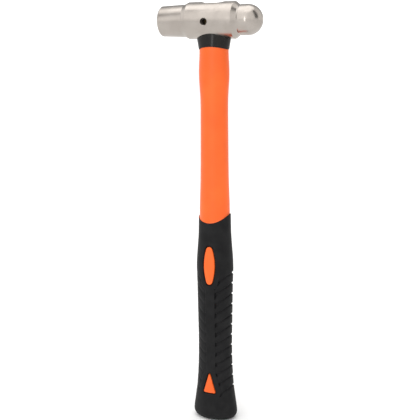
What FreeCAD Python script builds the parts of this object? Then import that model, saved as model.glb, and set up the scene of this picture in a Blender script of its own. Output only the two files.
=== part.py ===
"""Ball peen hammer, 380 mm long, as the seven pieces it comes apart into.

Millimetres. The origin is the middle of the butt's end face, +Z runs up the handle, +X points to the
ball and -X to the striking face. The handle is oval, wider along X, the way the hammer swings.
"""

import FreeCAD, Part
import math
import os

import Sketcher
from FreeCAD import Placement, Rotation, Vector

os.makedirs("parts", exist_ok=True)
doc = FreeCAD.newDocument("ball_peen_hammer")

# Driving dimensions: alias, value, what it is.
DIMENSIONS = [
    ("head_axis_height", 364.0, "axis of the turned head above the butt"),
    ("face_distance", 48.6, "striking face to handle axis"),
    ("face_radius", 11.7, "flat of the striking face"),
    ("face_chamfer", 1.3, "chamfer round the striking face"),
    ("poll_radius", 13.9, "poll where it meets the shoulder"),
    ("poll_end", 25.6, "shoulder's foot to handle axis"),
    ("body_radius", 15.75, "body of the head, where the eye is"),
    ("body_poll_end", 21.6, "body's end on the poll side"),
    ("body_peen_end", 19.9, "body's end on the ball side"),
    ("neck_start", 24.0, "foot of the body's bevel on the ball side"),
    ("ball_radius", 13.0, "ball peen and its short neck"),
    ("ball_centre", 31.0, "centre of the ball to handle axis"),
    ("head_edge_round", 0.8, "rounding of the body's two edges"),
    ("eye_length", 21.5, "eye along the head"),
    ("eye_width", 12.0, "eye across the head"),
    ("core_length", 18.0, "rod section along the head"),
    ("core_width", 10.0, "rod section across the head"),
    ("core_bottom", 14.0, "lower end of the rod"),
    ("core_top", 378.0, "upper end of the rod"),
    ("potting_top", 378.4, "top of the resin in the eye"),
    ("pin_radius", 3.0, "spring pin and its hole"),
    ("pin_wall", 0.9, "wall of the spring pin"),
    ("pin_slot", 1.2, "slot along the spring pin"),
    ("pin_length", 27.0, "spring pin, recessed at both ends"),
    ("pin_offset", 3.8, "pin axis to handle axis, on the poll side"),
    ("pin_drop", 1.4, "pin axis below the head's axis"),
    ("collar_bottom", 338.0, "lower end of the collar blank"),
    ("collar_top", 353.5, "upper end of the collar blank, above where the head cuts it"),
    ("collar_foot_half_width", 13.3, "collar at its lower end, along X"),
    ("collar_foot_half_depth", 10.9, "collar at its lower end, along Y"),
    ("collar_head_half_width", 16.15, "collar at its upper end, along X"),
    ("collar_head_half_depth", 11.0, "collar at its upper end, along Y"),
    ("collar_arch_height", 341.6, "crown of the arch in the collar's lower edge"),
    ("collar_arch_radius", 43.0, "radius of that arch"),
    ("butt_round", 7.5, "rounding of the butt's edge"),
    ("grip_edge_radius", 21.0, "radius of the grip's hollow upper edge"),
    ("grip_edge_offset", 1.7, "axis of that hollow, on the poll side"),
    ("grip_edge_height", 188.0, "lowest point of the grip's upper edge"),
    ("grip_wall", 2.6, "thickness of the rubber over the jacket"),
    ("island_recess", 0.3, "islands below the rubber's surface"),
    ("window_gap", 0.35, "gap round each island"),
    ("oval_height", 149.2, "centre of the oval island"),
    ("oval_half_height", 17.7, "oval island, along the handle"),
    ("oval_half_width", 5.35, "oval island, across"),
    ("oval_round", 3.1, "radius of its two ends"),
    ("oval_offset", 0.75, "oval's centre line, on the poll side"),
    ("triangle_apex", 48.5, "point of the triangular island"),
    ("triangle_base", 27.4, "base of the triangular island"),
    ("triangle_half_width", 6.2, "half of its base"),
    ("triangle_round", 1.0, "rounding of its corners"),
    ("triangle_offset", 1.4, "triangle's centre line, on the poll side"),
    ("panel_half_width", 4.5, "smooth panel down the front and the back"),
    ("panel_margin", 5.2, "smooth rubber kept round the islands"),
    ("panel_top", 150.0, "upper end of the smooth panel"),
    ("tread_top", 142.2, "crown of the highest groove"),
    ("tread_bottom", 24.0, "lowest height that a groove reaches"),
    ("tread_pitch", 9.85, "one groove to the next"),
    ("tread_count", 12, "grooves a side"),
    ("tread_arch_radius", 15.5, "each groove is an arch seen from the side"),
    ("tread_width", 2.2, "width of a groove"),
    ("tread_depth", 1.1, "depth of a groove on the ball side"),
    ("tread_shallow", 0.35, "depth of a groove on the poll side"),
    ("cutter_reach", 30.0, "half length of the cutters, past every surface"),
]

# Stations of the handle: name, height, half width along X, half depth along Y.
GRIP_STATIONS = [
    ("butt", 0.0, 21.3, 15.0),
    ("heel", 9.0, 20.7, 14.8),
    ("ankle", 23.0, 18.75, 14.1),
    ("flare", 38.0, 17.2, 13.4),
    ("waist", 74.0, 15.95, 13.1),
    ("palm", 108.0, 16.4, 13.9),
    ("belly", 128.0, 16.7, 14.1),
    ("swell", 148.0, 17.0, 14.3),
    ("taper", 176.0, 15.1, 13.0),
    ("lip", 190.0, 14.8, 12.4),
    ("grip_top", 206.0, 14.7, 12.0),
]
SHAFT_STATIONS = [
    ("shaft_root", 180.0, 14.0, 12.1),
    ("throat", 204.0, 13.7, 11.5),
    ("lower_shaft", 222.0, 13.1, 10.9),
    ("shaft", 252.0, 12.65, 10.6),
    ("slim", 284.0, 12.4, 10.3),
    ("upper_shaft", 300.0, 12.6, 10.45),
    ("bulge", 318.0, 13.65, 10.9),
    ("neck", 333.0, 13.2, 10.5),
    ("jacket_top", 346.5, 13.0, 10.4),
]

H_AXIS = -1
V_AXIS = -2

sheet = doc.addObject("Spreadsheet::Sheet", "Sizes")
cells = list(DIMENSIONS)
for name, height, half_width, half_depth in GRIP_STATIONS + SHAFT_STATIONS:
    cells.append((f"{name}_height", height, f"{name} station, height"))
    cells.append((f"{name}_half_width", half_width, f"{name} station, along X"))
    cells.append((f"{name}_half_depth", half_depth, f"{name} station, along Y"))
for row, (alias, size, meaning) in enumerate(cells, start=1):
    sheet.set(f"A{row}", meaning)
    sheet.set(f"B{row}", str(size))
    sheet.setAlias(f"B{row}", alias)
doc.recompute()


def value(expression):
    """The number that an expression over the sheet gives now."""
    return float(sheet.evalExpression(expression))


def bind(item, **expressions):
    """Bind properties to the sheet; a double underscore stands for a dot."""
    for name, expression in expressions.items():
        item.setExpression(name.replace("__", "."), expression)
    return item


def fix_point(sketch, geometry, end, axis, expression):
    """Hold one coordinate of a sketch point on its axis when it is 0, else at a sheet value."""
    if expression == "0":
        line = V_AXIS if axis == "X" else H_AXIS
        sketch.addConstraint(Sketcher.Constraint("PointOnObject", geometry, end, line))
        return
    rule = Sketcher.Constraint(f"Distance{axis}", -1, 1, geometry, end, value(expression))
    index = sketch.addConstraint(rule)
    name = f"place_{axis.lower()}_{index}"
    sketch.renameConstraint(index, name)
    sketch.setExpression(f"Constraints.{name}", expression)


def sketch_on(body, name, role):
    """An empty sketch on one of the body's own origin planes."""
    plane = next(item for item in body.Origin.OriginFeatures if item.Role == role)
    sketch = body.newObject("Sketcher::SketchObject", name)
    sketch.AttachmentSupport = [(plane, "")]
    sketch.MapMode = "FlatFace"
    return sketch


def add_circle(sketch, x, y, radius):
    """A circle whose centre and radius are bound to the sheet."""
    centre = Vector(value(x), value(y), 0)
    circle = sketch.addGeometry(Part.Circle(centre, Vector(0, 0, 1), value(radius)))
    fix_point(sketch, circle, 3, "X", x)
    fix_point(sketch, circle, 3, "Y", y)
    index = sketch.addConstraint(Sketcher.Constraint("Radius", circle, value(radius)))
    name = f"radius_{index}"
    sketch.renameConstraint(index, name)
    sketch.setExpression(f"Constraints.{name}", radius)


def add_outline(sketch, corners):
    """A closed outline of lines and arcs, every corner bound to the sheet.

    A corner is (x, y), which starts a line, or (x, y, centre_x, centre_y, turn), which starts an arc
    about that centre: counter-clockwise when turn is 1, clockwise when it is -1.
    """
    places = [Vector(value(corner[0]), value(corner[1]), 0) for corner in corners]
    links = []
    for number, corner in enumerate(corners):
        start = places[number]
        finish = places[(number + 1) % len(corners)]
        if len(corner) == 2:
            geometry = sketch.addGeometry(Part.LineSegment(start, finish))
            links.append((geometry, 1, 2))
            continue
        centre = Vector(value(corner[2]), value(corner[3]), 0)
        first, last = (start, finish) if corner[4] > 0 else (finish, start)
        angles = [math.atan2(point.y - centre.y, point.x - centre.x) for point in (first, last)]
        circle = Part.Circle(centre, Vector(0, 0, 1), (first - centre).Length)
        geometry = sketch.addGeometry(Part.ArcOfCircle(circle, *angles))
        links.append((geometry, 1, 2) if corner[4] > 0 else (geometry, 2, 1))
        chord = finish - start
        if abs(chord.x) > abs(chord.y):
            fix_point(sketch, geometry, 3, "Y", corner[3])
        else:
            fix_point(sketch, geometry, 3, "X", corner[2])
    for number, corner in enumerate(corners):
        geometry, start, finish = links[number]
        following = links[(number + 1) % len(links)]
        meet = Sketcher.Constraint("Coincident", geometry, finish, following[0], following[1])
        sketch.addConstraint(meet)
        fix_point(sketch, geometry, start, "X", corner[0])
        fix_point(sketch, geometry, start, "Y", corner[1])


def add_oblong(sketch, length, width):
    """A slot with round ends, centred on the sketch's origin, length along X."""
    reach = f"({length} - {width}) / 2"
    half = f"{width} / 2"
    add_outline(sketch, [
        (f"-{reach}", f"-{half}"),
        (reach, f"-{half}", reach, "0", 1),
        (reach, half),
        (f"-{reach}", half, f"-{reach}", "0", 1),
    ])


def new_body(name):
    return doc.addObject("PartDesign::Body", name)


def pad(body, sketch, name, length, symmetric=False):
    """Raise a sketch into a solid."""
    feature = body.newObject("PartDesign::Pad", name)
    feature.Profile = sketch
    feature.SideType = "Symmetric" if symmetric else "One side"
    bind(feature, Length=length)
    doc.recompute()
    return feature


def pocket_through(body, sketch, name):
    """Cut a sketch right through the body both ways, and check that it removed material."""
    before = body.Shape.Volume
    feature = body.newObject("PartDesign::Pocket", name)
    feature.Profile = sketch
    feature.Type = "ThroughAll"
    feature.SideType = "Symmetric"
    doc.recompute()
    if body.Shape.Volume > before - 1.0:
        raise RuntimeError(f"{name} removed nothing")
    return feature


def circle_edges(shape, radius):
    """Names of the full-circle edges of that radius about the X axis."""
    found = []
    for number, edge in enumerate(shape.Edges, start=1):
        if edge.Degenerated or not isinstance(edge.Curve, Part.Circle):
            continue
        if abs(edge.Curve.Radius - radius) < 1e-6 and abs(edge.Curve.Axis.x) > 0.999:
            found.append(f"Edge{number}")
    return found


def cut(name, base, tool):
    """base without tool."""
    result = doc.addObject("Part::Cut", name)
    result.Base = base
    result.Tool = tool
    return result


def common(name, first, second):
    """What two solids share."""
    result = doc.addObject("Part::Common", name)
    result.Base = first
    result.Tool = second
    return result


def fuse(name, *solids):
    """Several solids as one."""
    result = doc.addObject("Part::MultiFuse", name)
    result.Shapes = list(solids)
    return result


def cylinder_along(name, direction, radius, **places):
    """A long cylinder along X or Y, centred on its Placement."""
    rod = doc.addObject("Part::Cylinder", name)
    bind(rod, Radius=radius, Height="Sizes.cutter_reach * 2", **places)
    if direction == "X":
        rod.Placement = Placement(Vector(), Rotation(Vector(0, 1, 0), 90))
        return bind(rod, Placement__Base__x="-Sizes.cutter_reach")
    rod.Placement = Placement(Vector(), Rotation(Vector(1, 0, 0), -90))
    return bind(rod, Placement__Base__y="-Sizes.cutter_reach")


def ellipse_ring(name, half_width, half_depth, height):
    """A level ellipse at a height."""
    ring = doc.addObject("Part::Ellipse", name)
    return bind(ring, MajorRadius=half_width, MinorRadius=half_depth, Placement__Base__z=height)


def loft(name, rings):
    """A smooth solid through level rings."""
    form = doc.addObject("Part::Loft", name)
    form.Sections = rings
    form.Solid = True
    return form


def station_rings(name, stations, inset):
    """The level ellipses of some stations, inset all round; the first is raised by the inset too."""
    rings = []
    for number, (station, *_) in enumerate(stations):
        size = f"Sizes.{station}"
        rings.append(ellipse_ring(
            f"{name}_{station}",
            f"{size}_half_width - {inset}",
            f"{size}_half_depth - {inset}",
            f"{size}_height" if number else f"{size}_height + {inset}",
        ))
    return rings


def grip_form(name, inset):
    """The grip's outline, inset all round, with the butt's edge rounded."""
    plain = loft(f"{name}_plain", station_rings(name, GRIP_STATIONS, inset))
    doc.recompute()
    floor = plain.Shape.BoundBox.ZMin
    rounded = doc.addObject("Part::Fillet", name)
    rounded.Base = plain
    radius = value(f"Sizes.butt_round - {inset}")
    rounded.Edges = [
        (number, radius, radius)
        for number, edge in enumerate(plain.Shape.Edges, start=1)
        if edge.BoundBox.ZMax < floor + 0.01
    ]
    return rounded


def make_head():
    """Flat face, poll, shoulder, body, neck and ball, turned about X, then the eye and the pin hole."""
    body = new_body("hammer_head")
    bind(body, Placement__Base__z="Sizes.head_axis_height")
    outline = sketch_on(body, "head_outline", "XZ_Plane")
    add_outline(outline, [
        ("-Sizes.face_distance", "0"),
        ("-Sizes.face_distance", "Sizes.face_radius"),
        ("-(Sizes.face_distance - Sizes.face_chamfer)", "Sizes.face_radius + Sizes.face_chamfer"),
        ("-Sizes.poll_end", "Sizes.poll_radius"),
        ("-Sizes.body_poll_end", "Sizes.body_radius"),
        ("Sizes.body_peen_end", "Sizes.body_radius"),
        ("Sizes.neck_start", "Sizes.ball_radius"),
        ("Sizes.ball_centre", "Sizes.ball_radius", "Sizes.ball_centre", "0", -1),
        ("Sizes.ball_centre + Sizes.ball_radius", "0"),
    ])
    turned = body.newObject("PartDesign::Revolution", "head_turning")
    turned.Profile = outline
    turned.ReferenceAxis = (outline, ["H_Axis"])
    doc.recompute()

    rounding = body.newObject("PartDesign::Fillet", "head_edges")
    rounding.Base = (turned, circle_edges(turned.Shape, value("Sizes.body_radius")))
    bind(rounding, Radius="Sizes.head_edge_round")
    doc.recompute()

    eye = sketch_on(body, "eye_outline", "XY_Plane")
    add_oblong(eye, "Sizes.eye_length", "Sizes.eye_width")
    pocket_through(body, eye, "eye")

    pin_hole = sketch_on(body, "head_pin_circle", "XZ_Plane")
    add_circle(pin_hole, "-Sizes.pin_offset", "-Sizes.pin_drop", "Sizes.pin_radius")
    pocket_through(body, pin_hole, "head_pin_hole")
    return body


def drill_for_pin(body, name):
    """The pin's hole through a piece that is drawn in the row's own frame."""
    circle = sketch_on(body, f"{name}_circle", "XZ_Plane")
    height = "Sizes.head_axis_height - Sizes.pin_drop"
    add_circle(circle, "-Sizes.pin_offset", height, "Sizes.pin_radius")
    pocket_through(body, circle, name)


def make_core():
    """The rod that runs inside the whole handle and through the eye."""
    body = new_body("fiberglass_core")
    section = sketch_on(body, "core_section", "XY_Plane")
    add_oblong(section, "Sizes.core_length", "Sizes.core_width")
    bind(section, AttachmentOffset__Base__z="Sizes.core_bottom")
    pad(body, section, "core_rod", "Sizes.core_top - Sizes.core_bottom")
    drill_for_pin(body, "core_pin_hole")
    return body


def make_potting():
    """The resin between the rod and the eye, ending on the head's round underside."""
    body = new_body("epoxy_potting")
    section = sketch_on(body, "potting_section", "XY_Plane")
    add_oblong(section, "Sizes.eye_length", "Sizes.eye_width")
    add_oblong(section, "Sizes.core_length", "Sizes.core_width")
    bottom = "Sizes.head_axis_height - Sizes.body_radius"
    bind(section, AttachmentOffset__Base__z=bottom)
    pad(body, section, "potting_ring", f"Sizes.potting_top - ({bottom})")

    saddle = sketch_on(body, "potting_saddle", "YZ_Plane")
    edge = "Sizes.head_axis_height - sqrt(Sizes.body_radius ^ 2 - Sizes.eye_width ^ 2)"
    add_outline(saddle, [
        ("Sizes.eye_width", f"{bottom} - 1"),
        ("Sizes.eye_width", edge, "0", "Sizes.head_axis_height", -1),
        ("-Sizes.eye_width", edge),
        ("-Sizes.eye_width", f"{bottom} - 1"),
    ])
    pocket_through(body, saddle, "potting_underside")
    drill_for_pin(body, "potting_pin_hole")
    return body


def make_pin():
    """A spring pin: a tube with one slot along it."""
    body = new_body("retaining_pin")
    bind(
        body,
        Placement__Base__x="-Sizes.pin_offset",
        Placement__Base__z="Sizes.head_axis_height - Sizes.pin_drop",
    )
    section = sketch_on(body, "pin_section", "XZ_Plane")
    add_circle(section, "0", "0", "Sizes.pin_radius")
    add_circle(section, "0", "0", "Sizes.pin_radius - Sizes.pin_wall")
    pad(body, section, "pin_tube", "Sizes.pin_length", symmetric=True)

    slot = sketch_on(body, "pin_slot_outline", "XZ_Plane")
    half = "Sizes.pin_slot / 2"
    add_outline(slot, [
        (f"-{half}", "0"),
        (half, "0"),
        (half, "Sizes.pin_radius + 1"),
        (f"-{half}", "Sizes.pin_radius + 1"),
    ])
    pocket_through(body, slot, "pin_slot_cut")
    return body


def make_collar(shaft, core):
    """A tapered oval ring: saddle on top for the head, arch below, and the shaft's shape inside."""
    blank = loft("collar_blank", [
        ellipse_ring(
            "collar_foot", "Sizes.collar_foot_half_width", "Sizes.collar_foot_half_depth",
            "Sizes.collar_bottom",
        ),
        ellipse_ring(
            "collar_brim", "Sizes.collar_head_half_width", "Sizes.collar_head_half_depth",
            "Sizes.collar_top",
        ),
    ])
    saddle = cylinder_along(
        "saddle_cutter", "X", "Sizes.body_radius", Placement__Base__z="Sizes.head_axis_height",
    )
    arch = cylinder_along(
        "arch_cutter", "Y", "Sizes.collar_arch_radius",
        Placement__Base__z="Sizes.collar_arch_height - Sizes.collar_arch_radius",
    )
    removed = fuse("collar_cutters", saddle, arch, shaft, core)
    return cut("collar", blank, removed)


def make_emblem(name, margin):
    """The oval and the triangle, grown by a margin, as bars right through the handle along Y."""
    upright = Rotation(Vector(1, 0, 0), 90)
    oval = doc.addObject("Sketcher::SketchObject", f"{name}_oval")
    oval.Placement = Placement(Vector(), upright)
    bind(oval, Placement__Base__x="-Sizes.oval_offset", Placement__Base__z="Sizes.oval_height")
    end = "(Sizes.oval_half_height - Sizes.oval_round)"
    side = (
        f"((Sizes.oval_half_width ^ 2 + {end} ^ 2 - Sizes.oval_round ^ 2)"
        " / (2 * (Sizes.oval_half_width - Sizes.oval_round)) - Sizes.oval_half_width)"
    )
    reach = f"(Sizes.oval_round + {margin}) / sqrt({side} ^ 2 + {end} ^ 2)"
    x = f"{side} * {reach}"
    y = f"({end} + {end} * {reach})"
    add_outline(oval, [
        (x, f"-{y}", f"-{side}", "0", 1),
        (x, y, "0", end, 1),
        (f"-{x}", y, side, "0", 1),
        (f"-{x}", f"-{y}", "0", f"-{end}", 1),
    ])

    sharp = doc.addObject("Sketcher::SketchObject", f"{name}_triangle_sharp")
    sharp.Placement = Placement(Vector(), upright)
    bind(sharp, Placement__Base__x="-Sizes.triangle_offset")
    inset = "Sizes.triangle_round"
    slope = "Sizes.triangle_half_width / (Sizes.triangle_apex - Sizes.triangle_base)"
    half_base = f"Sizes.triangle_half_width - {inset} * (sqrt(1 + ({slope}) ^ 2) + {slope})"
    add_outline(sharp, [
        (f"-({half_base})", f"Sizes.triangle_base + {inset}"),
        (half_base, f"Sizes.triangle_base + {inset}"),
        ("0", f"Sizes.triangle_apex - {inset} * sqrt(1 + 1 / ({slope}) ^ 2)"),
    ])
    triangle = doc.addObject("Part::Offset2D", f"{name}_triangle")
    triangle.Source = sharp
    triangle.Join = "Arc"
    bind(triangle, Value=f"{inset} + {margin}")
    bars = []
    for outline in (oval, triangle):
        bar = doc.addObject("Part::Extrusion", f"{outline.Name}_bar")
        bar.Base = outline
        bar.DirMode = "Custom"
        bar.Dir = Vector(0, 1, 0)
        bar.Solid = True
        bar.Symmetric = True
        bars.append(bind(bar, LengthFwd="Sizes.cutter_reach * 2"))
    return bars


def make_upper_zone():
    """Everything above the grip's hollow upper edge."""
    hollow = cylinder_along(
        "edge_hollow", "Y", "Sizes.grip_edge_radius",
        Placement__Base__x="-Sizes.grip_edge_offset",
        Placement__Base__z="Sizes.grip_edge_height + Sizes.grip_edge_radius",
    )
    above = doc.addObject("Part::Box", "edge_above")
    bind(
        above,
        Length="Sizes.cutter_reach * 2",
        Width="Sizes.cutter_reach * 2",
        Height="Sizes.head_axis_height",
        Placement__Base__x="-Sizes.cutter_reach",
        Placement__Base__y="-Sizes.cutter_reach",
        Placement__Base__z="Sizes.grip_edge_height + Sizes.grip_edge_radius",
    )
    return fuse("upper_zone", hollow, above)


def make_jacket(shaft, upper_zone, under_grip, core):
    """Seen above the grip, thinner under it, with islands that fill the grip's windows."""
    visible = common("jacket_shaft", shaft, upper_zone)
    island_skin = grip_form("island_skin", "Sizes.island_recess")
    islands = common("islands", island_skin, fuse("island_bars", *make_emblem("island", "0")))
    return cut("handle_jacket", fuse("jacket_solid", visible, under_grip, islands), core)


def make_tread_arches():
    """A ladder of arches, each half a ring seen along X and drawn right across the handle."""
    body = new_body("tread_arches")
    bind(body, Placement__Base__z="Sizes.tread_top - Sizes.tread_arch_radius")
    arch = sketch_on(body, "tread_arch", "YZ_Plane")
    inner = "(Sizes.tread_arch_radius - Sizes.tread_width)"
    outer = "Sizes.tread_arch_radius"
    add_outline(arch, [
        (inner, "0"),
        (outer, "0", "0", "0", 1),
        (f"-{outer}", "0"),
        (f"-{inner}", "0", "0", "0", -1),
    ])
    first = pad(body, arch, "tread_first", "Sizes.cutter_reach * 2", symmetric=True)
    ladder = body.newObject("PartDesign::LinearPattern", "tread_ladder")
    ladder.Originals = [first]
    axis = next(item for item in body.Origin.OriginFeatures if item.Role == "Z_Axis")
    ladder.Direction = (axis, [""])
    ladder.Reversed = True
    bind(
        ladder,
        Length="Sizes.tread_pitch * (Sizes.tread_count - 1)",
        Occurrences="Sizes.tread_count",
    )
    body.Tip = ladder
    doc.recompute()
    return body


def make_panel():
    """Where the grip is smooth: its foot, and a strip up front and back, wider beside the islands."""
    strip = doc.addObject("Part::Box", "panel_strip")
    bind(
        strip,
        Length="Sizes.panel_half_width * 2",
        Width="Sizes.cutter_reach * 2",
        Height="Sizes.panel_top",
        Placement__Base__x="-Sizes.panel_half_width",
        Placement__Base__y="-Sizes.cutter_reach",
    )
    foot = doc.addObject("Part::Box", "panel_foot")
    bind(
        foot,
        Length="Sizes.cutter_reach * 2",
        Width="Sizes.cutter_reach * 2",
        Height="Sizes.tread_bottom",
        Placement__Base__x="-Sizes.cutter_reach",
        Placement__Base__y="-Sizes.cutter_reach",
    )
    return fuse("smooth_panel", strip, foot, *make_emblem("panel", "Sizes.panel_margin"))


def half_space(name, start):
    """A block over one side of the handle, from its middle plane."""
    block = doc.addObject("Part::Box", name)
    return bind(
        block,
        Length="Sizes.cutter_reach",
        Width="Sizes.cutter_reach * 2",
        Height="Sizes.head_axis_height",
        Placement__Base__x=start,
        Placement__Base__y="-Sizes.cutter_reach",
    )


def make_grip(upper_zone, under_grip):
    """Rubber below the hollow edge, with windows for the islands and a tread down each side."""
    lower = cut("grip_lower", grip_form("grip_outline", "0"), upper_zone)
    windows = fuse("window_bars", *make_emblem("window", "Sizes.window_gap"))
    arches = cut("tread_outside_panel", make_tread_arches(), make_panel())
    sides = {
        "ball_side": ("0", "Sizes.tread_depth"),
        "poll_side": ("-Sizes.cutter_reach", "Sizes.tread_shallow"),
    }
    grooves = []
    for name, (start, depth) in sides.items():
        half = common(f"tread_{name}", arches, half_space(f"{name}_block", start))
        grooves.append(cut(f"grooves_{name}", half, grip_form(f"floor_{name}", depth)))
    return cut("rubber_grip", lower, fuse("grip_cutters", under_grip, windows, *grooves))


head = make_head()
core = make_core()
shaft = loft("shaft_outline", station_rings("shaft_outline", SHAFT_STATIONS, "0"))
under_grip = grip_form("jacket_under_grip", "Sizes.grip_wall")
zone = make_upper_zone()
jacket = make_jacket(shaft, zone, under_grip, core)
grip = make_grip(zone, under_grip)
pieces = [head, core, make_potting(), make_pin(), make_collar(shaft, core), jacket, grip]
doc.recompute()

for item in doc.Objects:
    if "Invalid" in item.State or "Error" in item.State:
        raise RuntimeError(f"{item.Name} failed: {item.State}")
for piece in pieces:
    if piece.Shape.isNull() or not piece.Shape.isValid():
        raise RuntimeError(f"{piece.Label} has no valid shape")
    if len(piece.Shape.Solids) != 1:
        raise RuntimeError(f"{piece.Label} has {len(piece.Shape.Solids)} solids")
for piece in pieces:
    piece.Shape.exportStep(f"parts/{piece.Label}.step")
    box = piece.Shape.optimalBoundingBox()
    print(f"{piece.Label}: {piece.Shape.Volume / 1000:.1f} cm3, z {box.ZMin:.1f} to {box.ZMax:.1f}")
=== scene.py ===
"""Looks of the ball peen hammer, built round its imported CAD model.

Lengths are in millimetres until a mesh is made. The frame is the CAD's: the origin is the middle of
the butt's end, +Z runs up the handle, +X points to the ball and the front of the handle faces -Y.
"""

import math

import bmesh
import bpy
import numpy as np
from mathutils import Matrix, Vector


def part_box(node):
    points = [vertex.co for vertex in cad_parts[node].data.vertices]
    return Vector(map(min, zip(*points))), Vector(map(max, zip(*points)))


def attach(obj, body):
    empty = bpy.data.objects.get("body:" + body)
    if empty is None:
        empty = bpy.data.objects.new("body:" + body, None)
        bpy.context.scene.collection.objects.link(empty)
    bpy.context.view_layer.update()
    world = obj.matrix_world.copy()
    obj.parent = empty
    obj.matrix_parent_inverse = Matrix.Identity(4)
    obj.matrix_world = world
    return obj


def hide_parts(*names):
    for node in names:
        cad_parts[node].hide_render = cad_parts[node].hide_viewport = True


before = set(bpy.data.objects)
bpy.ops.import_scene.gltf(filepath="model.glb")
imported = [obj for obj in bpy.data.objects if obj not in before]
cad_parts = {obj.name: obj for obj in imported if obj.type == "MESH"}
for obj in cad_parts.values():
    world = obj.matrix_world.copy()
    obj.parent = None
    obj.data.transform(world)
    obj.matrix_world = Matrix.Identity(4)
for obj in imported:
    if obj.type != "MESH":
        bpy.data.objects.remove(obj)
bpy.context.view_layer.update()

MM = 0.001


def node_box(node):
    """Lowest and highest corner of a CAD node, in millimetres."""
    low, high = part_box(node)
    return low / MM, high / MM


head_low, head_high = node_box("hammer_head")
core_low, core_high = node_box("fiberglass_core")
potting_low, potting_high = node_box("epoxy_potting")
pin_low, pin_high = node_box("retaining_pin")
JACKET_TOP = node_box("handle_jacket")[1].z

# The head, turned about an axis along X.
HEAD_AXIS = (head_low.z + head_high.z) / 2
BODY_RADIUS = (head_high.z - head_low.z) / 2
BALL_RADIUS = 13.0
BALL_CENTRE = head_high.x - BALL_RADIUS
FACE_RADIUS = 11.7
FACE_CHAMFER = 1.3
POLL_RADIUS = 13.9
POLL_END = -25.6
BODY_POLL_END = -21.6
BODY_PEEN_END = 19.9
NECK_START = 24.0
NECK_UNDERCUT = 0.4
HEAD_EDGE_ROUND = 0.8
TURNING_SEGMENTS = 288
BALL_RINGS = 40

# Mouths of the eye and the pin's hole: depth below the head's surface, growth of the opening.
EYE_FLARE = ((1.2, 0.0), (0.5, 0.05), (0.2, 0.2), (0.05, 0.4), (-0.4, 1.2))
PIN_HOLE_FLARE = ((0.8, 0.02), (0.25, 0.02), (0.0, 0.25), (-0.6, 0.9))
SLOT_SEGMENTS = 96
PIN_HOLE_SEGMENTS = 72
CUTTER_OVERSHOOT = 1.0

# The resin's top from the eye's wall (0) to the rod (1), with how far it has sunk.
RESIN_PROFILE = ((0.0, 0.0), (0.15, 0.25), (0.4, 0.45), (0.7, 0.45), (0.92, 0.2), (1.0, 0.0))
RESIN_TOP_GAP = 0.4
RESIN_FOOT_GAP = 2.5

# The collar under the head: height, half width and half depth of its blank's two ends.
COLLAR_FOOT = (338.0, 13.3, 10.9)
COLLAR_BRIM = (353.5, 16.15, 11.0)
COLLAR_ARCH_TOP = 341.6
COLLAR_ARCH_RADIUS = 43.0
COLLAR_EDGE_ROUND = 0.25
COLLAR_SEGMENTS = 192
COLLAR_HEAD_GAP = 0.02
COLLAR_BORE_HEIGHT = 340.0
COLLAR_BORE_GAP = 0.05
COLLAR_BORE_CHAMFER = 0.3

# Stations of the handle: height, half width along X, half depth along Y.
GRIP_STATIONS = (
    (0.0, 21.3, 15.0),
    (9.0, 20.7, 14.8),
    (23.0, 18.75, 14.1),
    (38.0, 17.2, 13.4),
    (74.0, 15.95, 13.1),
    (108.0, 16.4, 13.9),
    (128.0, 16.7, 14.1),
    (148.0, 17.0, 14.3),
    (176.0, 15.1, 13.0),
    (190.0, 14.8, 12.4),
    (206.0, 14.7, 12.0),
)
SHAFT_STATIONS = (
    (180.0, 14.0, 12.1),
    (204.0, 13.7, 11.5),
    (222.0, 13.1, 10.9),
    (252.0, 12.65, 10.6),
    (284.0, 12.4, 10.3),
    (300.0, 12.6, 10.45),
    (318.0, 13.65, 10.9),
    (333.0, 13.2, 10.5),
    (JACKET_TOP, 13.0, 10.4),
)
HANDLE_SEGMENTS = 320
BUTT_ROUND = 7.5
GRIP_WALL = 2.6
GRIP_LIP = 0.25
GRIP_ROW = 0.5
JACKET_FILLET = 1.5
JACKET_SWELL = 0.3
JACKET_CLEARANCE = 0.02

# The hollow upper edge of the grip, an arc: its radius, and the x and height of its lowest point.
EDGE_RADIUS = 21.0
EDGE_OFFSET = -1.7
EDGE_HEIGHT = 188.0

# The islands of the jacket that show through the grip.
OVAL_CENTRE = (-0.75, 149.2)
OVAL_HALF_WIDTH = 5.35
OVAL_HALF_HEIGHT = 17.7
OVAL_ROUND = 3.1
TRIANGLE_CENTRE = -1.4
TRIANGLE_APEX = 48.5
TRIANGLE_BASE = 27.4
TRIANGLE_HALF_WIDTH = 6.2
TRIANGLE_ROUND = 1.0
ISLAND_SPOKES = 120
ISLAND_RECESS = 0.3
ISLAND_EDGE_ROUND = 0.8
ISLAND_INSET = 0.1
# How far below its surface the pad's side starts, and how large its rings are against its outline.
ISLAND_SKIRT = (2.1, 0.7)
ISLAND_SHRINKS = (
    0.98, 0.975, 0.965, 0.95, 0.93, 0.9, 0.87, 0.83, 0.77, 0.7, 0.55, 0.4, 0.22, 0.05,
)

# The rubber's windows round the islands.
WINDOW_GAP = 0.7
WINDOW_LIP = 0.5
WINDOW_DEPTH = 1.7

# The tread down the two sides of the grip: arched grooves, shallow on the face's side.
TREAD_TOP = 142.2
TREAD_BOTTOM = 24.0
TREAD_PITCH = 9.85
TREAD_COUNT = 12
TREAD_ARCH_RADIUS = 15.5
TREAD_WIDTH = 2.2
TREAD_DEPTH = 1.1
TREAD_SHALLOW = 0.35
TREAD_WALL_SLOPE = 1.9
TREAD_END_FADE = 0.8
TREAD_SIDE_BLEND = 4.0

# The smooth panel between the treads: it keeps a margin round the islands and ends in a step.
PANEL_HALF_WIDTH = 4.5
PANEL_MARGIN = 5.2
PANEL_STEP = 0.35
PANEL_STEP_WIDTH = 0.6
PANEL_TOP_FADE = 4.0
PANEL_FOOT_FADE = 6.0

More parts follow.
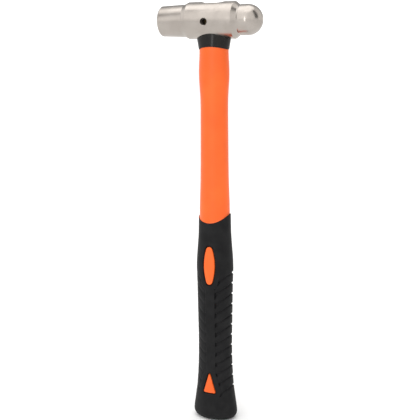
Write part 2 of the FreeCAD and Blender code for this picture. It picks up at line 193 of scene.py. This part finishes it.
# The groove at the foot of that step: where it is, how wide, and how much it deepens the tread.
POCKET_PLACE = 0.5
POCKET_WIDTH = 0.7
POCKET_DEPTH = 0.35


def smooth_step(values):
    """0 below 0, 1 above 1 and a smooth rise between."""
    t = np.clip(values, 0.0, 1.0)
    return t * t * (3.0 - 2.0 * t)


def spline(stations, column, heights):
    """A natural cubic spline through one column of some stations, read at the heights."""
    knots = np.array([station[0] for station in stations])
    sizes = np.array([station[column] for station in stations])
    gaps = np.diff(knots)
    slopes = np.diff(sizes) / gaps
    count = len(knots)
    matrix = np.eye(count)
    bends = np.zeros(count)
    for i in range(1, count - 1):
        matrix[i, i - 1:i + 2] = gaps[i - 1], 2 * (gaps[i - 1] + gaps[i]), gaps[i]
        bends[i] = 6 * (slopes[i] - slopes[i - 1])
    curvature = np.linalg.solve(matrix, bends)
    i = np.clip(np.searchsorted(knots, heights, side="right") - 1, 0, count - 2)
    after = heights - knots[i]
    before = knots[i + 1] - heights
    cubic = (curvature[i] * before**3 + curvature[i + 1] * after**3) / (6 * gaps[i])
    low = (sizes[i] / gaps[i] - curvature[i] * gaps[i] / 6) * before
    high = (sizes[i + 1] / gaps[i] - curvature[i + 1] * gaps[i] / 6) * after
    return cubic + low + high


def add_mesh(name, points, faces, sharp_angle=40.0):
    """An object from points in millimetres, smooth except across sharp edges."""
    mesh = bpy.data.meshes.new(name)
    mesh.from_pydata((np.asarray(points) * MM).tolist(), [], faces)
    outward = bmesh.new()
    outward.from_mesh(mesh)
    bmesh.ops.recalc_face_normals(outward, faces=outward.faces)
    outward.to_mesh(mesh)
    outward.free()
    mesh.shade_smooth()
    mesh.set_sharp_from_angle(angle=math.radians(sharp_angle))
    piece = bpy.data.objects.new(name, mesh)
    bpy.context.scene.collection.objects.link(piece)
    return piece


def skin(name, rings, closed=False, sharp_angle=40.0):
    """A solid through rings of the same number of points: capped, or closed on itself like a tube."""
    rings = np.asarray(rings)
    levels, around = rings.shape[:2]
    faces = []
    for level in range(levels if closed else levels - 1):
        here = level * around
        there = (level + 1) % levels * around
        for i in range(around):
            j = (i + 1) % around
            faces.append((here + i, here + j, there + j, there + i))
    if not closed:
        faces.append(tuple(range(around))[::-1])
        faces.append(tuple((levels - 1) * around + i for i in range(around)))
    return add_mesh(name, rings.reshape(-1, 3), faces, sharp_angle)


def merge_slivers(mesh):
    """Merges the points that a boolean leaves within a few thousandths of each other."""
    clean = bmesh.new()
    clean.from_mesh(mesh)
    bmesh.ops.remove_doubles(clean, verts=clean.verts, dist=0.004 * MM)
    bmesh.ops.dissolve_degenerate(clean, edges=clean.edges, dist=0.001 * MM)
    clean.to_mesh(mesh)
    clean.free()


def cut_away(piece, cutters, sharp_angle):
    """Takes the cutters' shapes out of a piece and removes the cutters."""
    for cutter in cutters:
        modifier = piece.modifiers.new(cutter.name, "BOOLEAN")
        modifier.operation = "DIFFERENCE"
        modifier.solver = "EXACT"
        modifier.object = cutter
    graph = bpy.context.evaluated_depsgraph_get()
    result = bpy.data.meshes.new_from_object(piece.evaluated_get(graph))
    piece.modifiers.clear()
    piece.data = result
    merge_slivers(result)
    result.set_sharp_from_angle(angle=math.radians(sharp_angle))
    for cutter in cutters:
        bpy.data.objects.remove(cutter)


def rounded_path(corners, steps=6):
    """Points along straight runs whose corners are rounded; a corner is (x, y, radius)."""
    path = []
    for number, (x, y, radius) in enumerate(corners):
        corner = np.array((x, y))
        if radius == 0.0:
            path.append(corner)
            continue
        back = np.array(corners[number - 1][:2]) - corner
        ahead = np.array(corners[number + 1][:2]) - corner
        back /= np.linalg.norm(back)
        ahead /= np.linalg.norm(ahead)
        half = math.acos(float(np.clip(back @ ahead, -1.0, 1.0))) / 2
        reach = radius / math.tan(half)
        middle = (back + ahead) / np.linalg.norm(back + ahead)
        centre = corner + middle * radius / math.sin(half)
        first = corner + back * reach - centre
        last = corner + ahead * reach - centre
        for t in np.linspace(0.0, 1.0, steps):
            spoke = first * (1 - t) + last * t
            path.append(centre + spoke / np.linalg.norm(spoke) * radius)
    return path


def full_turn(count):
    """Angles evenly round a full turn."""
    return np.linspace(0.0, 2 * math.pi, count, endpoint=False)


def oblong(length, width):
    """Points round a slot with round ends, length along X."""
    angles = full_turn(SLOT_SEGMENTS)
    reach = (length - width) / 2
    x = np.cos(angles) * width / 2 + np.where(np.cos(angles) >= 0, reach, -reach)
    return np.stack([x, np.sin(angles) * width / 2], axis=-1)


def head_rings():
    """Rings of the turned head, from the striking face to the tip of the ball."""
    corners = [
        (head_low.x, FACE_RADIUS, 0.3),
        (head_low.x + FACE_CHAMFER, FACE_RADIUS + FACE_CHAMFER, 0.5),
        (POLL_END, POLL_RADIUS, 1.2),
        (BODY_POLL_END, BODY_RADIUS, HEAD_EDGE_ROUND),
        (BODY_PEEN_END, BODY_RADIUS, HEAD_EDGE_ROUND),
        (NECK_START, BALL_RADIUS - NECK_UNDERCUT, 0.4),
        (NECK_START + 1.3, BALL_RADIUS, 0.8),
    ]
    start = (head_low.x, 0.5, 0.0)
    end = (BALL_CENTRE, BALL_RADIUS, 0.0)
    path = rounded_path([start, *corners, end])
    for angle in np.linspace(0.0, math.pi / 2, BALL_RINGS)[1:-1]:
        path.append((BALL_CENTRE + BALL_RADIUS * math.sin(angle), BALL_RADIUS * math.cos(angle)))
    turns = full_turn(TURNING_SEGMENTS)
    return [
        np.stack([np.full_like(turns, x), r * np.sin(turns), HEAD_AXIS + r * np.cos(turns)], axis=-1)
        for x, r in path
    ]


def eye_cutter():
    """The eye's slot, flared at both mouths so that its edges are rounded."""
    length = potting_high.x - potting_low.x
    width = potting_high.y - potting_low.y
    rings = []
    for side in (-1, 1):
        mouth = []
        for below, growth in EYE_FLARE:
            x, y = oblong(length + 2 * growth, width + 2 * growth).T
            surface = np.sqrt(BODY_RADIUS**2 - y**2)
            mouth.append(np.stack([x, y, HEAD_AXIS + side * (surface - below)], axis=-1))
        outside = np.full_like(x, HEAD_AXIS + side * (BODY_RADIUS + CUTTER_OVERSHOOT))
        mouth.append(np.stack([x, y, outside], axis=-1))
        rings += mouth[::side]
    return skin("eye_cutter", rings)


def pin_hole_cutter():
    """The pin's hole, with a small chamfer at both mouths."""
    radius = (pin_high.x - pin_low.x) / 2
    x = (pin_low.x + pin_high.x) / 2
    z = (pin_low.z + pin_high.z) / 2
    turns = full_turn(PIN_HOLE_SEGMENTS)
    rings = []
    for side in (-1, 1):
        mouth = []
        for below, growth in PIN_HOLE_FLARE:
            ring_x = x + (radius + growth) * np.cos(turns)
            ring_z = z + (radius + growth) * np.sin(turns)
            surface = np.sqrt(BODY_RADIUS**2 - (ring_z - HEAD_AXIS) ** 2)
            mouth.append(np.stack([ring_x, side * (surface - below), ring_z], axis=-1))
        outside = np.full_like(ring_x, side * (BODY_RADIUS + CUTTER_OVERSHOOT))
        mouth.append(np.stack([ring_x, outside, ring_z], axis=-1))
        rings += mouth[::side]
    return skin("pin_hole_cutter", rings)


def make_head():
    """The turned steel, with the eye and the pin's hole through it."""
    sharp_angle = 30.0
    head = skin("head", head_rings(), sharp_angle=sharp_angle)
    cut_away(head, [eye_cutter(), pin_hole_cutter()], sharp_angle)
    return head


def make_resin():
    """Cured resin round the rod in the eye, its top sunk a little between wall and rod."""
    outer = oblong(potting_high.x - potting_low.x, potting_high.y - potting_low.y)
    inner = oblong(core_high.x - core_low.x, core_high.y - core_low.y)
    rings = []
    for share, sink in RESIN_PROFILE:
        x, y = (outer * (1 - share) + inner * share).T
        height = np.full_like(x, potting_high.z - RESIN_TOP_GAP - sink)
        rings.append(np.stack([x, y, height], axis=-1))
    for x, y in (inner.T, outer.T):
        rings.append(np.stack([x, y, np.full_like(x, potting_low.z + RESIN_FOOT_GAP)], axis=-1))
    return skin("resin", rings, closed=True)


def make_collar():
    """The oval ring between head and jacket, with soft edges."""
    turns = full_turn(COLLAR_SEGMENTS)
    bore_height = np.array([COLLAR_BORE_HEIGHT])
    inner_width = spline(SHAFT_STATIONS, 1, bore_height)[0] + COLLAR_BORE_GAP
    inner_depth = spline(SHAFT_STATIONS, 2, bore_height)[0] + COLLAR_BORE_GAP

    def outline(height, inset):
        """The blank's oval at a height."""
        share = (height - COLLAR_FOOT[0]) / (COLLAR_BRIM[0] - COLLAR_FOOT[0])
        half_width = COLLAR_FOOT[1] + (COLLAR_BRIM[1] - COLLAR_FOOT[1]) * share - inset
        half_depth = COLLAR_FOOT[2] + (COLLAR_BRIM[2] - COLLAR_FOOT[2]) * share - inset
        return half_width * np.cos(turns), half_depth * np.sin(turns)

    def foot(x):
        """Height of the arched lower edge."""
        return COLLAR_ARCH_TOP - COLLAR_ARCH_RADIUS + np.sqrt(COLLAR_ARCH_RADIUS**2 - x**2)

    def brim(y):
        """Height of the upper edge, just under the head's round belly."""
        return HEAD_AXIS - np.sqrt(BODY_RADIUS**2 - y**2) - COLLAR_HEAD_GAP

    def ring(share, inset, lift):
        """A ring between foot (0) and brim (1), settled in a few steps from its middle height."""
        height = np.full_like(turns, COLLAR_FOOT[0] + 8.0)
        for _ in range(4):
            x, y = outline(height, inset)
            height = foot(x) * (1 - share) + brim(y) * share + lift
        return np.stack([x, y, height], axis=-1)

    edge = []
    for angle in np.linspace(0.0, math.pi / 2, 6):
        inset = COLLAR_EDGE_ROUND * (1 - math.sin(angle))
        lift = COLLAR_EDGE_ROUND * (1 - math.cos(angle))
        edge.append((inset, lift))
    rings = [ring(0.0, inset, lift) for inset, lift in edge]
    rings += [ring(share, 0.0, 0.0) for share in np.linspace(0.1, 0.9, 14)]
    rings += [ring(1.0, inset, -lift) for inset, lift in edge[::-1]]
    x = inner_width * np.cos(turns)
    y = inner_depth * np.sin(turns)
    rings.append(np.stack([x, y, brim(y) - COLLAR_BORE_CHAMFER], axis=-1))
    rings.append(np.stack([x, y, foot(x) + COLLAR_BORE_CHAMFER], axis=-1))
    return skin("collar_ring", rings, closed=True)


def handle_point(stations, angles, heights, inset):
    """Points on the handle's oval at these angles and heights, set in from its surface."""
    x = (spline(stations, 1, heights) - inset) * np.cos(angles)
    y = (spline(stations, 2, heights) - inset) * np.sin(angles)
    return np.stack([x, y, heights], axis=-1)


def edge_height(x):
    """Height of the grip's hollow upper edge."""
    return EDGE_HEIGHT + EDGE_RADIUS - np.sqrt(EDGE_RADIUS**2 - (x - EDGE_OFFSET) ** 2)


def edge_ring(stations, angles, inset, lift):
    """The ring of an oval where it meets the grip's upper edge, raised by lift."""
    heights = np.full_like(angles, EDGE_HEIGHT)
    for _ in range(8):
        heights = edge_height(handle_point(stations, angles, heights, inset)[:, 0]) + lift
    return handle_point(stations, angles, heights, inset)


def oval_distance(x, z):
    """Distance outside the oval island's outline, seen from the front; negative inside."""
    across = np.abs(x - OVAL_CENTRE[0])
    along = np.abs(z - OVAL_CENTRE[1])
    end = OVAL_HALF_HEIGHT - OVAL_ROUND
    width = OVAL_HALF_WIDTH
    side = (width**2 + end**2 - OVAL_ROUND**2) / (2 * (width - OVAL_ROUND)) - width
    past_end = side * along - end * (across + side) > 0
    to_end = np.hypot(across, along - end) - OVAL_ROUND
    to_side = np.hypot(across + side, along) - (side + width)
    return np.where(past_end, to_end, to_side)


def triangle_corners():
    """Centres of the triangular island's three rounded corners."""
    slope = TRIANGLE_HALF_WIDTH / (TRIANGLE_APEX - TRIANGLE_BASE)
    half = TRIANGLE_HALF_WIDTH - TRIANGLE_ROUND * (math.hypot(1, slope) + slope)
    top = TRIANGLE_APEX - TRIANGLE_ROUND * math.hypot(1, 1 / slope)
    floor = TRIANGLE_BASE + TRIANGLE_ROUND
    centre = TRIANGLE_CENTRE
    return [(centre - half, floor), (centre + half, floor), (centre, top)]


def triangle_distance(x, z):
    """Distance outside the triangular island's outline, seen from the front; negative inside."""
    corners = [np.array(corner) for corner in triangle_corners()]
    nearest = np.full(np.shape(x), np.inf)
    inside = np.ones(np.shape(x), bool)
    for start, finish in zip(corners, corners[1:] + corners[:1]):
        run = finish - start
        dx, dz = x - start[0], z - start[1]
        t = np.clip((dx * run[0] + dz * run[1]) / (run @ run), 0.0, 1.0)
        nearest = np.minimum(nearest, np.hypot(dx - t * run[0], dz - t * run[1]))
        inside &= run[0] * dz - run[1] * dx > 0
    return np.where(inside, -nearest, nearest) - TRIANGLE_ROUND


def tread_cut(x, y, z):
    """How deep the tread's grooves are at points on the grip."""
    depth = np.zeros_like(x)
    half = TREAD_WIDTH / 2
    for number in range(TREAD_COUNT):
        centre = TREAD_TOP - TREAD_ARCH_RADIUS - number * TREAD_PITCH
        off = np.abs(np.hypot(y, z - centre) - (TREAD_ARCH_RADIUS - half)) / half
        groove = smooth_step(TREAD_WALL_SLOPE * (1.0 - off))
        groove *= smooth_step((z - centre) / TREAD_END_FADE)
        depth = np.maximum(depth, groove)
    side = smooth_step(x / TREAD_SIDE_BLEND + 0.5)
    depth *= TREAD_SHALLOW + (TREAD_DEPTH - TREAD_SHALLOW) * side
    return depth * smooth_step((z - TREAD_BOTTOM) / TREAD_END_FADE)


def grip_cut(x, y, z):
    """How far the rubber is below the grip's smooth outline: tread, panel edge and window gaps."""
    island = np.minimum(oval_distance(x, z), triangle_distance(x, z))
    panel = np.minimum(np.abs(x) - PANEL_HALF_WIDTH, island - PANEL_MARGIN)
    outside = smooth_step(panel / PANEL_STEP_WIDTH + 0.4)
    span = smooth_step((TREAD_TOP - z) / PANEL_TOP_FADE + 0.5)
    span *= smooth_step((z - TREAD_BOTTOM) / PANEL_FOOT_FADE)
    pocket = np.exp(-(((panel - POCKET_PLACE) / POCKET_WIDTH) ** 2))
    tread = tread_cut(x, y, z)
    sunk = (tread + PANEL_STEP * span * (0.4 + 0.6 * pocket)) * outside
    sunk += POCKET_DEPTH * tread * pocket * outside
    lip = np.clip((island - WINDOW_GAP) / WINDOW_LIP, 0.0, 1.0)
    window = WINDOW_DEPTH * (1.0 - lip) ** 3
    return np.maximum(sunk, window)


def inner_rings(angles, inset, lift, rows):
    """Rings inside the rubber, from its upper edge down and round to the middle of the butt."""
    top = edge_ring(GRIP_STATIONS, angles, inset, lift)
    rings = [top]
    for share in np.linspace(1.0, 0.0, rows)[1:]:
        heights = BUTT_ROUND + (top[:, 2] - BUTT_ROUND) * share
        rings.append(handle_point(GRIP_STATIONS, angles, heights, inset))
    inner_round = BUTT_ROUND - GRIP_WALL
    for t in np.linspace(math.pi / 2, 0.0, 8)[1:]:
        heights = np.full_like(angles, BUTT_ROUND - inner_round * math.cos(t))
        further_in = inset + inner_round * (1 - math.sin(t))
        rings.append(handle_point(GRIP_STATIONS, angles, heights, further_in))
    return rings


def make_grip():
    """The rubber: outside with tread and windows, rolled lip, and a plain inside."""
    angles = full_turn(HANDLE_SEGMENTS)
    rings = []
    for t in np.linspace(0.0, math.pi / 2, 14):
        heights = np.full_like(angles, BUTT_ROUND * (1 - math.cos(t)))
        rings.append(handle_point(GRIP_STATIONS, angles, heights, BUTT_ROUND * (1 - math.sin(t))))
    top = edge_ring(GRIP_STATIONS, angles, 0.0, -GRIP_LIP)[:, 2]
    rows = round((EDGE_HEIGHT - BUTT_ROUND) / GRIP_ROW)
    for share in np.linspace(0.0, 1.0, rows)[1:]:
        heights = BUTT_ROUND + (top - BUTT_ROUND) * share
        plain = handle_point(GRIP_STATIONS, angles, heights, 0.0)
        rings.append(handle_point(GRIP_STATIONS, angles, heights, grip_cut(*plain.T)))
    for t in np.linspace(0.0, math.pi / 2, 6)[1:]:
        inset = GRIP_LIP * (1 - math.cos(t))
        lift = -GRIP_LIP * (1 - math.sin(t))
        rings.append(edge_ring(GRIP_STATIONS, angles, inset, lift))
    rings += inner_rings(angles, GRIP_WALL, 0.0, 40)
    return skin("grip", rings)


def make_jacket():
    """The orange shaft above the grip, a small fillet at the grip's edge, and the part under it."""
    angles = full_turn(HANDLE_SEGMENTS)
    rings = []
    foot = edge_ring(SHAFT_STATIONS, angles, 0.0, JACKET_FILLET)[:, 2]
    for share in np.linspace(1.0, 0.0, 160):
        heights = foot + (JACKET_TOP - foot) * share
        rings.append(handle_point(SHAFT_STATIONS, angles, heights, 0.0))
    for lift in np.linspace(JACKET_FILLET, 0.0, 8)[1:]:
        swell = JACKET_SWELL * (1 - lift / JACKET_FILLET) ** 2
        rings.append(edge_ring(SHAFT_STATIONS, angles, -swell, lift))
    rings += inner_rings(angles, GRIP_WALL + JACKET_CLEARANCE, JACKET_CLEARANCE, 30)
    return skin("jacket", rings)


def outline_points(distance, centre):
    """Points where a distance field is zero, found by halving along spokes from a centre."""
    points = []
    for angle in full_turn(ISLAND_SPOKES):
        near, far = 0.0, 40.0
        for _ in range(40):
            middle = (near + far) / 2
            x = centre[0] + middle * math.cos(angle)
            z = centre[1] + middle * math.sin(angle)
            if float(distance(np.array(x), np.array(z))) < 0.0:
                near = middle
            else:
                far = middle
        points.append((centre[0] + near * math.cos(angle), centre[1] + near * math.sin(angle)))
    return np.array(points)


def make_island(name, distance, centre, side):
    """One orange pad on the front (side -1) or the back (side 1), with rounded edges."""
    outline = outline_points(distance, centre)
    middle = np.array(centre)

    def pad_ring(shrink, sunk):
        """A ring of the pad's surface, or of its side where it is sunk below that."""
        x, z = (middle + (outline - middle) * shrink).T
        half_width = spline(GRIP_STATIONS, 1, z)
        half_depth = spline(GRIP_STATIONS, 2, z)
        y = half_depth * np.sqrt(1 - (x / half_width) ** 2)
        inward = np.clip(-distance(x, z) - ISLAND_INSET, 0.0, ISLAND_EDGE_ROUND)
        dip = ISLAND_EDGE_ROUND - np.sqrt(ISLAND_EDGE_ROUND**2 - (ISLAND_EDGE_ROUND - inward) ** 2)
        return np.stack([x, side * (y - ISLAND_RECESS - dip - sunk), z], axis=-1)

    rings = [pad_ring(ISLAND_SHRINKS[0], sunk) for sunk in ISLAND_SKIRT]
    rings += [pad_ring(shrink, 0.0) for shrink in ISLAND_SHRINKS]
    return skin(name, rings, sharp_angle=60.0)


class Nodes:
    """A material being built: its shader, and short calls for the nodes that vary it."""

    def __init__(self, name):
        self.material = bpy.data.materials.new(name)
        self.material.use_nodes = True
        self.tree = self.material.node_tree
        self.shader = self.tree.nodes["Principled BSDF"]
        self.places = self.tree.nodes.new("ShaderNodeTexCoord").outputs["Object"]

    def link(self, output, socket):
        """One node's output led to another's socket."""
        self.tree.links.new(output, socket)

    def noise(self, scale, detail=3.0, stretch=(1.0, 1.0, 1.0)):
        """Noise over the piece; scale is in waves per metre."""
        mapping = self.tree.nodes.new("ShaderNodeMapping")
        mapping.inputs["Scale"].default_value = [scale * axis for axis in stretch]
        self.link(self.places, mapping.inputs["Vector"])
        noise = self.tree.nodes.new("ShaderNodeTexNoise")
        noise.inputs["Scale"].default_value = 1.0
        noise.inputs["Detail"].default_value = detail
        self.link(mapping.outputs["Vector"], noise.inputs["Vector"])
        return noise.outputs["Fac"]

    def colours(self, driver, first, second, start=0.35, finish=0.65):
        """Base colour between two colours, as the driver varies."""
        ramp = self.tree.nodes.new("ShaderNodeValToRGB")
        ramp.color_ramp.elements[0].position = start
        ramp.color_ramp.elements[0].color = (*first, 1.0)
        ramp.color_ramp.elements[1].position = finish
        ramp.color_ramp.elements[1].color = (*second, 1.0)
        self.link(driver, ramp.inputs["Fac"])
        self.link(ramp.outputs["Color"], self.shader.inputs["Base Color"])

    def roughness(self, driver, low, high):
        """Roughness between low and high, as the driver varies."""
        spread = self.tree.nodes.new("ShaderNodeMapRange")
        spread.inputs["From Min"].default_value = 0.3
        spread.inputs["From Max"].default_value = 0.7
        spread.inputs["To Min"].default_value = low
        spread.inputs["To Max"].default_value = high
        self.link(driver, spread.inputs["Value"])
        self.link(spread.outputs["Result"], self.shader.inputs["Roughness"])

    def bump(self, driver, strength, distance):
        """Fine relief; distance is in metres."""
        bump = self.tree.nodes.new("ShaderNodeBump")
        bump.inputs["Strength"].default_value = strength
        bump.inputs["Distance"].default_value = distance
        self.link(driver, bump.inputs["Height"])
        self.link(bump.outputs["Normal"], self.shader.inputs["Normal"])


def stainless_steel():
    """Bright turned steel: warm grey, with fine rings round the head's axis."""
    nodes = Nodes("stainless_steel")
    rings = nodes.noise(1.0, detail=2.0, stretch=(2600.0, 25.0, 25.0))
    nodes.colours(nodes.noise(90.0), (0.36, 0.327, 0.297), (0.405, 0.37, 0.338))
    nodes.roughness(rings, 0.17, 0.26)
    nodes.bump(rings, 0.06, 0.00003)
    nodes.shader.inputs["Metallic"].default_value = 1.0
    nodes.shader.inputs["Anisotropic"].default_value = 0.7
    tangent = nodes.tree.nodes.new("ShaderNodeTangent")
    tangent.direction_type = "RADIAL"
    tangent.axis = "X"
    nodes.link(tangent.outputs["Tangent"], nodes.shader.inputs["Tangent"])
    return nodes.material


def dark_steel():
    """Blackened spring steel."""
    nodes = Nodes("dark_steel")
    nodes.colours(nodes.noise(500.0), (0.035, 0.03, 0.026), (0.07, 0.062, 0.055))
    nodes.roughness(nodes.noise(900.0), 0.35, 0.5)
    nodes.shader.inputs["Metallic"].default_value = 1.0
    return nodes.material


def cured_resin():
    """Amber epoxy with a glossy skin."""
    nodes = Nodes("cured_resin")
    nodes.colours(nodes.noise(350.0), (0.30, 0.21, 0.09), (0.42, 0.32, 0.16))
    nodes.roughness(nodes.noise(700.0), 0.12, 0.3)
    nodes.bump(nodes.noise(1200.0), 0.2, 0.0001)
    return nodes.material


def glass_fibre():
    """Pultruded rod: long pale fibres in resin."""
    nodes = Nodes("glass_fibre")
    fibres = nodes.noise(1.0, detail=2.0, stretch=(2500.0, 2500.0, 40.0))
    nodes.colours(fibres, (0.42, 0.38, 0.22), (0.62, 0.58, 0.40))
    nodes.roughness(fibres, 0.45, 0.65)
    nodes.bump(fibres, 0.3, 0.0001)
    return nodes.material


def collar_rubber():
    """Smooth glossy black moulding."""
    nodes = Nodes("collar_rubber")
    nodes.colours(nodes.noise(160.0), (0.005, 0.0045, 0.004), (0.009, 0.0075, 0.0065))
    nodes.roughness(nodes.noise(260.0), 0.14, 0.2)
    nodes.bump(nodes.noise(1500.0), 0.05, 0.00005)
    nodes.shader.inputs["Specular IOR Level"].default_value = 0.22
    return nodes.material


def orange_plastic():
    """Moulded polypropylene: bright orange with a satin skin."""
    nodes = Nodes("orange_plastic")
    nodes.colours(nodes.noise(40.0), (0.76, 0.101, 0.007), (0.82, 0.119, 0.010))
    nodes.roughness(nodes.noise(700.0), 0.32, 0.42)
    nodes.bump(nodes.noise(2600.0), 0.04, 0.00004)
    nodes.shader.inputs["Specular IOR Level"].default_value = 0.35
    return nodes.material


def grip_rubber():
    """Soft black rubber with a fine matt grain."""
    nodes = Nodes("grip_rubber")
    nodes.colours(nodes.noise(120.0), (0.008, 0.008, 0.0085), (0.012, 0.012, 0.0125))
    nodes.roughness(nodes.noise(900.0), 0.48, 0.6)
    nodes.bump(nodes.noise(3200.0), 0.12, 0.00006)
    nodes.shader.inputs["Specular IOR Level"].default_value = 0.1
    return nodes.material


def pale_floor():
    """A matt floor, nearly white."""
    nodes = Nodes("pale_floor")
    nodes.colours(nodes.noise(3.0), (0.83, 0.83, 0.83), (0.86, 0.86, 0.86))
    nodes.roughness(nodes.noise(20.0), 0.75, 0.85)
    return nodes.material


def show(piece, node, material):
    """A piece of the hammer: where it rides, what it stands for and what it is made of."""
    piece.data.materials.clear()
    piece.data.materials.append(material)
    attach(piece, "root")
    if node:
        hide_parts(node)


def build_hammer():
    """Every piece of the hammer, made and shown; the rod and the pin are the CAD's own."""
    show(make_head(), "hammer_head", stainless_steel())
    show(make_resin(), "epoxy_potting", cured_resin())
    show(make_collar(), "collar", collar_rubber())
    show(make_grip(), "rubber_grip", grip_rubber())
    orange = orange_plastic()
    show(make_jacket(), "handle_jacket", orange)
    triangle_middle = (TRIANGLE_CENTRE, TRIANGLE_BASE + (TRIANGLE_APEX - TRIANGLE_BASE) / 3)
    islands = {
        "oval": (oval_distance, OVAL_CENTRE),
        "triangle": (triangle_distance, triangle_middle),
    }
    for label, (distance, centre) in islands.items():
        for place, side in (("front", -1), ("back", 1)):
            pad = make_island(f"{label}_{place}", distance, centre, side)
            show(pad, None, orange)
    show(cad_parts["fiberglass_core"], None, glass_fibre())
    show(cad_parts["retaining_pin"], None, dark_steel())


# Brightness of the room against the sine of the elevation, below and above its walls.
FLOOR_AND_CEILING = ((0.0, 1.4), (0.5, 1.4), (0.75, 1.2), (0.90, 1.1))
# How much of the walls shows, against the sine of the elevation.
WALL_SHARE = ((0.08, 0.0), (0.17, 1.0), (0.85, 1.0), (0.92, 0.0))
# Brightness of the walls round a full turn that starts and ends at -X and passes the front first.
WALLS = (
    (0.085, 1.5),
    (0.112, 0.45),
    (0.130, 0.45),
    (0.150, 1.7),
    (0.250, 1.7),
    (0.300, 1.5),
    (0.400, 1.45),
    (0.440, 1.2),
    (0.460, 0.1),
    (0.520, 0.1),
    (0.545, 1.4),
    (0.660, 1.2),
    (0.720, 0.5),
    (0.900, 0.5),
    (0.970, 1.4),
)


def add_levels(tree, driver, levels):
    """A smooth run of brightness levels, read at the driver."""
    ramp = tree.nodes.new("ShaderNodeValToRGB")
    elements = ramp.color_ramp.elements
    elements[0].position = levels[0][0]
    elements[1].position = levels[1][0]
    for position, _ in levels[2:]:
        elements.new(position)
    for element, (_, level) in zip(elements, levels):
        element.color = (level, level, level, 1.0)
    tree.links.new(driver, ramp.inputs["Fac"])
    return ramp.outputs["Color"]


def add_area_light(name, place, aim, width, height, power):
    """A soft rectangular light, in metres and watts, turned to a point."""
    data = bpy.data.lights.new(name, "AREA")
    data.shape = "RECTANGLE"
    data.size = width
    data.size_y = height
    data.energy = power
    light = bpy.data.objects.new(name, data)
    bpy.context.scene.collection.objects.link(light)
    light.location = place
    light.rotation_euler = (Vector(aim) - Vector(place)).to_track_quat("-Z", "Y").to_euler()


def add_overhead_light():
    """An even light from straight above, as wide as a ceiling."""
    data = bpy.data.lights.new("overhead", "SUN")
    data.energy = 0.7
    data.angle = math.radians(60.0)
    light = bpy.data.objects.new("overhead", data)
    bpy.context.scene.collection.objects.link(light)


def add_floor():
    """A plain pale floor, 80 metres across."""
    mesh = bpy.data.meshes.new("floor")
    reach = 40.0
    corners = [(-reach, -reach, 0), (reach, -reach, 0), (reach, reach, 0), (-reach, reach, 0)]
    mesh.from_pydata(corners, [], [(0, 1, 2, 3)])
    mesh.materials.append(pale_floor())
    floor = bpy.data.objects.new("floor", mesh)
    bpy.context.scene.collection.objects.link(floor)


def add_room():
    """The light of a pale room all round, with darker stretches of wall for the steel to reflect."""
    world = bpy.data.worlds.new("studio")
    bpy.context.scene.world = world
    world.use_nodes = True
    tree = world.node_tree
    direction = tree.nodes.new("ShaderNodeTexCoord").outputs["Generated"]
    split = tree.nodes.new("ShaderNodeSeparateXYZ")
    tree.links.new(direction, split.inputs["Vector"])
    around = tree.nodes.new("ShaderNodeTexGradient")
    around.gradient_type = "RADIAL"
    tree.links.new(direction, around.inputs["Vector"])
    ends = add_levels(tree, split.outputs["Z"], FLOOR_AND_CEILING)
    walls = add_levels(tree, around.outputs["Fac"], WALLS)
    wall_share = add_levels(tree, split.outputs["Z"], WALL_SHARE)
    room = tree.nodes.new("ShaderNodeMix")
    tree.links.new(wall_share, room.inputs["Factor"])
    tree.links.new(ends, room.inputs["A"])
    tree.links.new(walls, room.inputs["B"])
    background = tree.nodes["Background"]
    tree.links.new(room.outputs["Result"], background.inputs["Strength"])
    background.inputs["Color"].default_value = (1.0, 0.995, 0.985, 1.0)


def add_studio():
    """The floor, the room and three soft lights."""
    add_floor()
    add_room()
    top_of_handle = (0.0, 0.0, 0.34)
    under_ceiling = (-0.5, 0.0001, 0.0)
    add_area_light("ceiling", (-0.5, 0.0, 1.9), under_ceiling, 2.2, 2.2, 9.0)
    add_area_light("front", (-0.34, -2.48, 0.34), top_of_handle, 0.35, 1.2, 4.5)
    add_overhead_light()


def add_camera():
    """The camera in front, a little to the ball's side and level with the top of the handle."""
    data = bpy.data.cameras.new("camera")
    data.sensor_width = 36.0
    data.lens = 67.58
    camera = bpy.data.objects.new("camera", data)
    bpy.context.scene.collection.objects.link(camera)
    bpy.context.scene.camera = camera

    place = Vector((0.2475, -0.6506, 0.3355))
    target = Vector((0.0, 0.0, 0.198))
    turn = math.radians(0.350)
    roll = math.radians(-0.280)
    ahead = (target - place).normalized()
    right = ahead.cross(Vector((0, 0, 1))).normalized()
    up = right.cross(ahead)
    aim = ahead * math.cos(turn) - right * math.sin(turn)
    right = right * math.cos(turn) + ahead * math.sin(turn)
    level = right * math.cos(roll) + up * math.sin(roll)
    upright = up * math.cos(roll) - right * math.sin(roll)
    axes = Matrix((level, upright, -aim)).transposed()
    camera.matrix_world = Matrix.Translation(place) @ axes.to_4x4()


bpy.context.scene.view_settings.view_transform = "Standard"
build_hammer()
add_studio()
add_camera()
